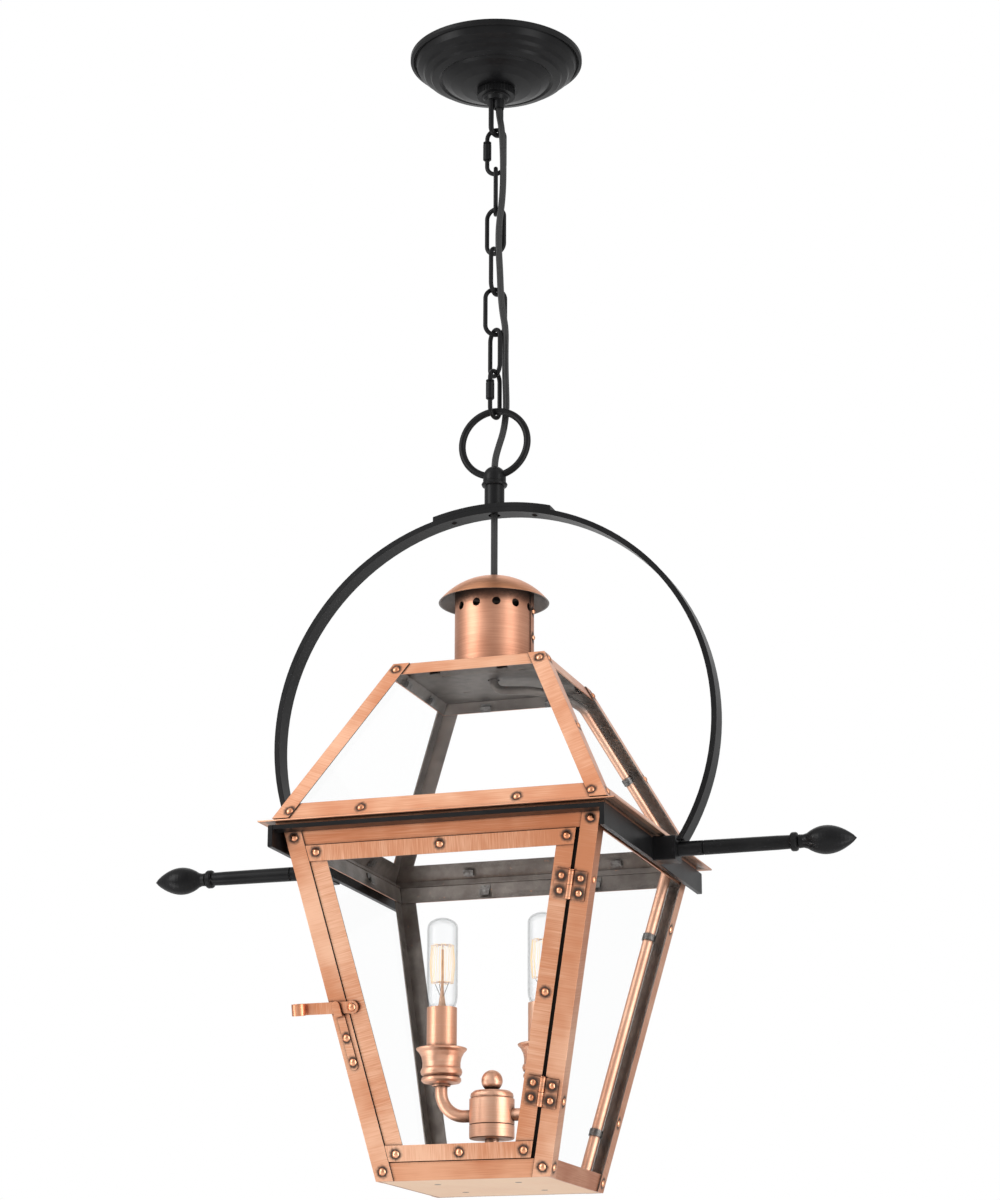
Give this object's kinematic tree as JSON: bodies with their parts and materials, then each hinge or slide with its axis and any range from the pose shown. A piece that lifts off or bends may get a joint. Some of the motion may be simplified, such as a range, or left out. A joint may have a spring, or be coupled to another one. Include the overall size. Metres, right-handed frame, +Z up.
{
  "type": "hanging lantern",
  "caption": "Copper lantern with hinged glass door and candle lamps, hung from a ceiling canopy by a chain and an arched black yoke.",
  "frame": {"origin": "centre of the canopy's ceiling plane, where the crossbar bolts to the ceiling box", "axes": "+Z up, +X to the lantern's right, +Y to its back; the door faces -Y and the lantern hangs down -Z"},
  "size_m": [0.5436, 0.264, 0.897],
  "materials": {
    "aged_copper": "brushed copper sheet with dark patina in the corners",
    "lamp_copper": "satin copper",
    "dark_copper": "dark oxidised copper",
    "black_iron": "satin black powder coat",
    "steel": "zinc plated",
    "clear_glass": "clear sheet glass",
    "bulb_glass": "clear blown glass",
    "bulb_metal": "satin",
    "socket": "moulded phenolic",
    "cord_jacket": "black flat twin cord"
  },
  "bodies": {
    "canopy": {"ceiling_crossbar": "steel", "threaded_nipple": "steel", "nipple_locknut": "steel", "canopy_dish": "black_iron", "canopy_collar": "black_iron", "hang_loop": "black_iron"},
    "quick_link_upper": {"quick_link_upper": "black_iron"},
    "chain_link_1": {"chain_link_1": "black_iron"},
    "chain_link_2": {"chain_link_2": "black_iron"},
    "chain_link_3": {"chain_link_3": "black_iron"},
    "chain_link_4": {"chain_link_4": "black_iron"},
    "chain_link_5": {"chain_link_5": "black_iron"},
    "quick_link_lower": {"quick_link_lower": "black_iron"},
    "quick_link_upper_sleeve": {"quick_link_upper_sleeve": "black_iron"},
    "quick_link_lower_sleeve": {"quick_link_lower_sleeve": "black_iron"},
    "lantern": {"cord_along_chain": "cord_jacket", "cord_to_chimney": "cord_jacket", "hanging_ring": "black_iron", "ring_stem": "black_iron", "arch_band": "black_iron", "arch_saddle": "black_iron", "yoke_side_bars": "black_iron", "yoke_cross_bars": "black_iron", "yoke_blocks": "black_iron", "yoke_arms": "black_iron", "yoke_finials": "black_iron", "chimney_cap": "aged_copper", "chimney_pipe": "aged_copper", "roof_top_plate": "dark_copper", "roof_strips": "aged_copper", "roof_hips": "aged_copper", "roof_rivets": "aged_copper", "roof_glass": "clear_glass", "body_posts": "aged_copper", "body_rails": "aged_copper", "bottom_plate": "aged_copper", "body_rivets": "aged_copper", "body_glass": "clear_glass", "cage_clips": "dark_copper", "conduits": "aged_copper", "hinge_leaves_post": "aged_copper", "latch_catch": "aged_copper", "cluster_body": "lamp_copper", "cluster_cap": "lamp_copper", "cluster_stem": "lamp_copper", "lamp_arms": "lamp_copper", "candle_cups": "lamp_copper", "candle_sleeves": "lamp_copper", "lamp_sockets": "socket", "bulb_bases": "bulb_metal", "bulb_glasses": "bulb_glass", "bulb_stems": "bulb_glass"},
    "door": {"door_rails": "aged_copper", "door_stiles": "aged_copper", "door_glass": "clear_glass", "door_rivets": "aged_copper", "door_clips": "dark_copper", "hinge_leaves_door": "aged_copper", "latch_pivot": "aged_copper"},
    "latch": {"latch_lever": "aged_copper"}
  },
  "joints": [
    {"name": "quick_link_upper_swing", "type": "hinge", "parent": "canopy", "child": "quick_link_upper", "pos_m": [0, 0, -0.0663], "axis": [0.4147, 0.91, 0], "range_deg": [-15, 15], "deforming": ["cord_along_chain"]},
    {"name": "chain_link_1_swing", "type": "hinge", "parent": "quick_link_upper", "child": "chain_link_1", "pos_m": [0, 0, -0.10009], "axis": [1, 0, 0], "range_deg": [-15, 15], "deforming": ["cord_along_chain"]},
    {"name": "chain_link_2_swing", "type": "hinge", "parent": "chain_link_1", "child": "chain_link_2", "pos_m": [0, 0, -0.13423], "axis": [-0.3173, 0.9483, 0], "range_deg": [-15, 15], "deforming": ["cord_along_chain"]},
    {"name": "chain_link_3_swing", "type": "hinge", "parent": "chain_link_2", "child": "chain_link_3", "pos_m": [0, 0, -0.16837], "axis": [-0.9781, 0.2079, 0], "range_deg": [-15, 15], "deforming": ["cord_along_chain"]},
    {"name": "chain_link_4_swing", "type": "hinge", "parent": "chain_link_3", "child": "chain_link_4", "pos_m": [0, 0, -0.20251], "axis": [0.1305, 0.9914, 0], "range_deg": [-15, 15], "deforming": ["cord_along_chain"]},
    {"name": "chain_link_5_swing", "type": "hinge", "parent": "chain_link_4", "child": "chain_link_5", "pos_m": [0, 0, -0.23665], "axis": [0.8949, 0.4462, 0], "range_deg": [-15, 15], "deforming": ["cord_along_chain"]},
    {"name": "quick_link_lower_swing", "type": "hinge", "parent": "chain_link_5", "child": "quick_link_lower", "pos_m": [0, 0, -0.27079], "axis": [-0.7373, 0.6756, 0], "range_deg": [-15, 15], "deforming": ["cord_along_chain"]},
    {"name": "lantern_swing", "type": "hinge", "parent": "quick_link_lower", "child": "lantern", "pos_m": [0, 0, -0.30493], "axis": [0.2079, 0.9781, 0], "range_deg": [-15, 15], "deforming": ["cord_along_chain"]},
    {"name": "quick_link_upper_sleeve_travel", "type": "slide", "parent": "quick_link_upper", "child": "quick_link_upper_sleeve", "axis": [0, 0, -1], "range_m": [0, 0.005]},
    {"name": "quick_link_lower_sleeve_travel", "type": "slide", "parent": "quick_link_lower", "child": "quick_link_lower_sleeve", "axis": [0, 0, -1], "range_m": [0, 0.005]},
    {"name": "door_hinge", "type": "hinge", "parent": "lantern", "child": "door", "pos_m": [0.07714, -0.09315, -0.76435], "axis": [0.2114, -0.2114, 0.9543], "range_deg": [0, 105]},
    {"name": "latch_lever_pivot", "type": "hinge", "parent": "door", "child": "latch", "pos_m": [-0.07306, -0.09143, -0.77026], "axis": [0, 0.9763, 0.2163], "range_deg": [0, 80]}
  ]
}
